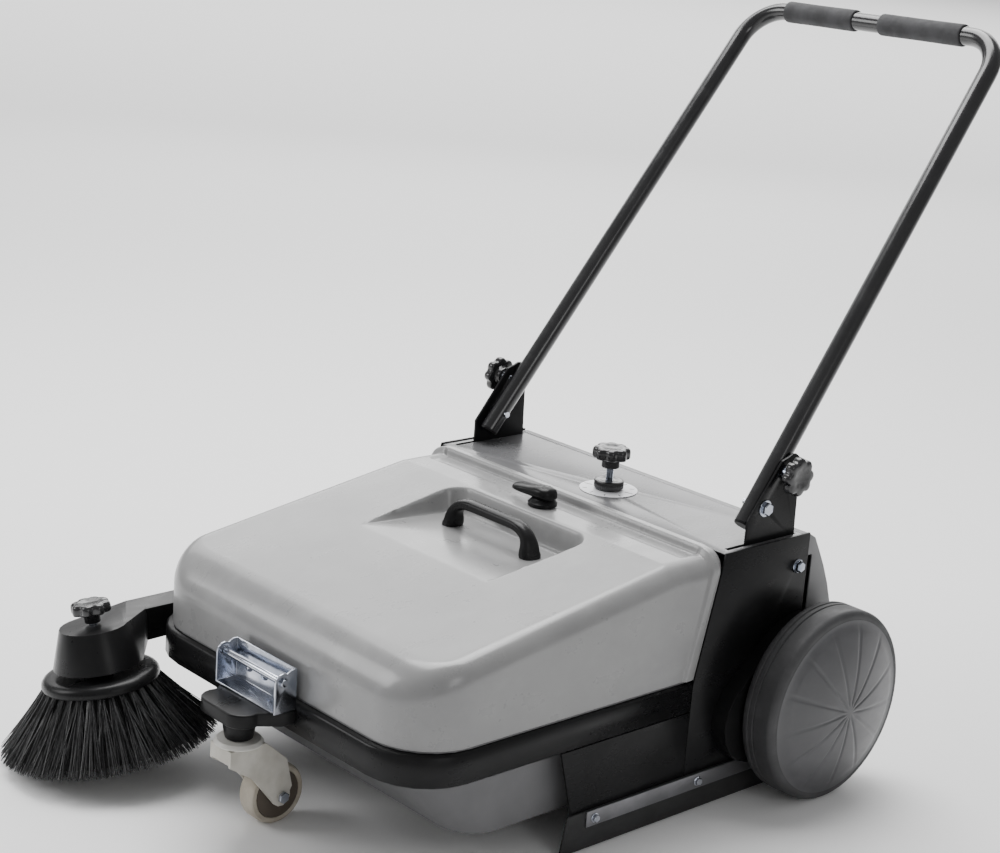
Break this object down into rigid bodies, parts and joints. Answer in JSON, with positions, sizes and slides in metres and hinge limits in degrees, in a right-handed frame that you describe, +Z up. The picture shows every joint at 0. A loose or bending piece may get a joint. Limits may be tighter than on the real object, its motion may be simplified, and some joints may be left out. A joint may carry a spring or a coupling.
{
  "type": "walk behind sweeper",
  "caption": "Walk-behind push sweeper with a lift-off hopper, roller brush, tilted side brush, front caster and a fold-down handle.",
  "frame": {"origin": "centre of the machine's footprint on the floor, at rest with the handle up", "axes": "+Z up, +Y towards the operator, +X on the operator's left, -Y the direction of travel"},
  "size_m": [0.7399, 1.1969, 0.949],
  "materials": {
    "grey_plastic": "satin moulded light grey",
    "dark_plastic": "dark grey moulded, fine grain",
    "grey_paint": "smooth semi-gloss grey paint",
    "black_paint": "semi-gloss black powder coat",
    "zinc": "bright zinc plate",
    "rubber": "matt black rubber",
    "tyre": "matt dark grey rubber",
    "wheel_disc": "satin dark grey moulded",
    "black_plastic": "satin black moulded",
    "foam": "matt foam grip",
    "bristle": "black synthetic bristles",
    "label": "printed white film",
    "caster_plastic": "light beige grey moulded",
    "caster_tread": "light brownish elastic tread"
  },
  "bodies": {
    "chassis": {"side_plate_left": "black_paint", "side_plate_right": "black_paint", "top_cover": "grey_paint", "rear_hood": "grey_plastic", "rear_flap": "rubber", "frame_band": "black_plastic", "skirt_panel_left": "black_paint", "skirt_panel_right": "black_paint", "side_rubber_left": "rubber", "side_rubber_right": "rubber", "skirt_strip_left": "zinc", "skirt_strip_right": "zinc", "handle_bracket_left": "black_paint", "handle_bracket_right": "black_paint", "axle_left": "zinc", "axle_right": "zinc", "drive_cover_left": "black_plastic", "drive_cover_right": "black_plastic", "scale_label": "label", "caster_plate": "black_plastic", "caster_stem": "black_plastic", "front_bracket": "zinc", "front_bar": "zinc", "side_arm_bracket": "black_paint"},
    "left_wheel": {"tyre_left": "tyre", "wheel_hub_left": "dark_plastic", "wheel_disc_left": "wheel_disc", "drive_gear": "black_plastic"},
    "right_wheel": {"tyre_right": "tyre", "wheel_hub_right": "dark_plastic", "wheel_disc_right": "wheel_disc"},
    "brush_carrier": {"brush_rocker_left": "black_paint", "brush_rocker_right": "black_paint", "lift_bar": "black_paint"},
    "main_brush": {"main_brush_core": "dark_plastic", "main_brush_bristles": "bristle", "brush_pinion": "black_plastic"},
    "side_arm": {"side_arm": "black_plastic"},
    "side_brush": {"side_brush_disc": "black_plastic", "side_brush_bristles": "bristle"},
    "side_knob": {"side_brush_knob": "black_plastic"},
    "caster_fork": {"caster_fork": "caster_plastic", "caster_cap": "caster_plastic"},
    "caster_wheel": {"caster_wheel_core": "dark_plastic", "caster_tread": "caster_tread"},
    "handle": {"handle_tube": "black_paint", "pivot_bolt_left": "zinc", "pivot_bolt_right": "zinc", "grip_left": "foam", "grip_right": "foam"},
    "clamp_knob_left": {"clamp_knob_left": "black_plastic"},
    "clamp_knob_right": {"clamp_knob_right": "black_plastic"},
    "height_knob": {"height_knob": "black_plastic", "height_screw": "zinc"},
    "lock_nut": {"lock_nut": "black_plastic"},
    "hopper": {"hopper_hood": "grey_plastic", "hopper_tub": "dark_plastic", "carry_handle": "black_plastic"},
    "latch": {"latch_lever": "black_plastic"}
  },
  "joints": [
    {"name": "left_wheel_spin", "type": "hinge", "parent": "chassis", "child": "left_wheel", "pos_m": [0.3232, 0.2234, 0.125], "axis": [1, 0, 0], "continuous": true},
    {"name": "right_wheel_spin", "type": "hinge", "parent": "chassis", "child": "right_wheel", "pos_m": [-0.3108, 0.2234, 0.125], "axis": [1, 0, 0], "continuous": true},
    {"name": "height_knob_turn", "type": "hinge", "parent": "chassis", "child": "height_knob", "pos_m": [0.0092, 0.1314, 0.35], "axis": [0, 0, 1], "range_deg": [-720, 720]},
    {"name": "brush_height", "type": "hinge", "parent": "chassis", "child": "brush_carrier", "pos_m": [0.0062, 0.2234, 0.125], "axis": [-1, 0, 0], "range_deg": [-1.25, 1.25]},
    {"name": "main_brush_spin", "type": "hinge", "parent": "brush_carrier", "child": "main_brush", "pos_m": [0.0062, 0.1358, 0.1124], "axis": [1, 0, 0], "continuous": true},
    {"name": "side_arm_lift", "type": "hinge", "parent": "chassis", "child": "side_arm", "pos_m": [-0.2838, -0.2666, 0.157], "axis": [-1, 0, 0], "range_deg": [0, 20]},
    {"name": "side_brush_spin", "type": "hinge", "parent": "side_arm", "child": "side_brush", "pos_m": [-0.2506, -0.473, 0.1171], "axis": [-0.1477, -0.0916, 0.9848], "continuous": true},
    {"name": "side_knob_turn", "type": "hinge", "parent": "side_arm", "child": "side_knob", "pos_m": [-0.2506, -0.473, 0.1171], "axis": [-0.1477, -0.0916, 0.9848], "range_deg": [0, 720]},
    {"name": "caster_swivel", "type": "hinge", "parent": "chassis", "child": "caster_fork", "pos_m": [0.0062, -0.4446, 0.115], "axis": [0, 0, 1], "continuous": true},
    {"name": "caster_wheel_spin", "type": "hinge", "parent": "caster_fork", "child": "caster_wheel", "pos_m": [0.0062, -0.3946, 0.038], "axis": [1, 0, 0], "continuous": true},
    {"name": "handle_fold", "type": "hinge", "parent": "chassis", "child": "handle", "pos_m": [0.0062, 0.1494, 0.373], "axis": [-1, 0, 0], "range_deg": [-136, 0]},
    {"name": "clamp_knob_left_turn", "type": "hinge", "parent": "chassis", "child": "clamp_knob_left", "pos_m": [0.2662, 0.1794, 0.415], "axis": [1, 0, 0], "range_deg": [0, 720]},
    {"name": "clamp_knob_right_turn", "type": "hinge", "parent": "chassis", "child": "clamp_knob_right", "pos_m": [-0.2538, 0.1794, 0.415], "axis": [-1, 0, 0], "range_deg": [0, 720]},
    {"name": "lock_nut_turn", "type": "hinge", "parent": "chassis", "child": "lock_nut", "pos_m": [0.0092, 0.1314, 0.338], "axis": [0, 0, 1], "range_deg": [0, 540]},
    {"name": "latch_turn", "type": "hinge", "parent": "hopper", "child": "latch", "pos_m": [0.0062, 0.0154, 0.33], "axis": [0, 0, 1], "range_deg": [-90, 0]},
    {"name": "hopper_lift", "type": "slide", "parent": "chassis", "child": "hopper", "axis": [0, 0, 1], "range_m": [0, 0.3]}
  ],
  "couplings": [
    {"joint": "main_brush_spin", "follows": "left_wheel_spin", "ratio": -1.8095},
    {"joint": "side_brush_spin", "follows": "right_wheel_spin", "ratio": 1.5},
    {"joint": "brush_height", "follows": "height_knob_turn", "ratio": 0.0017361}
  ]
}
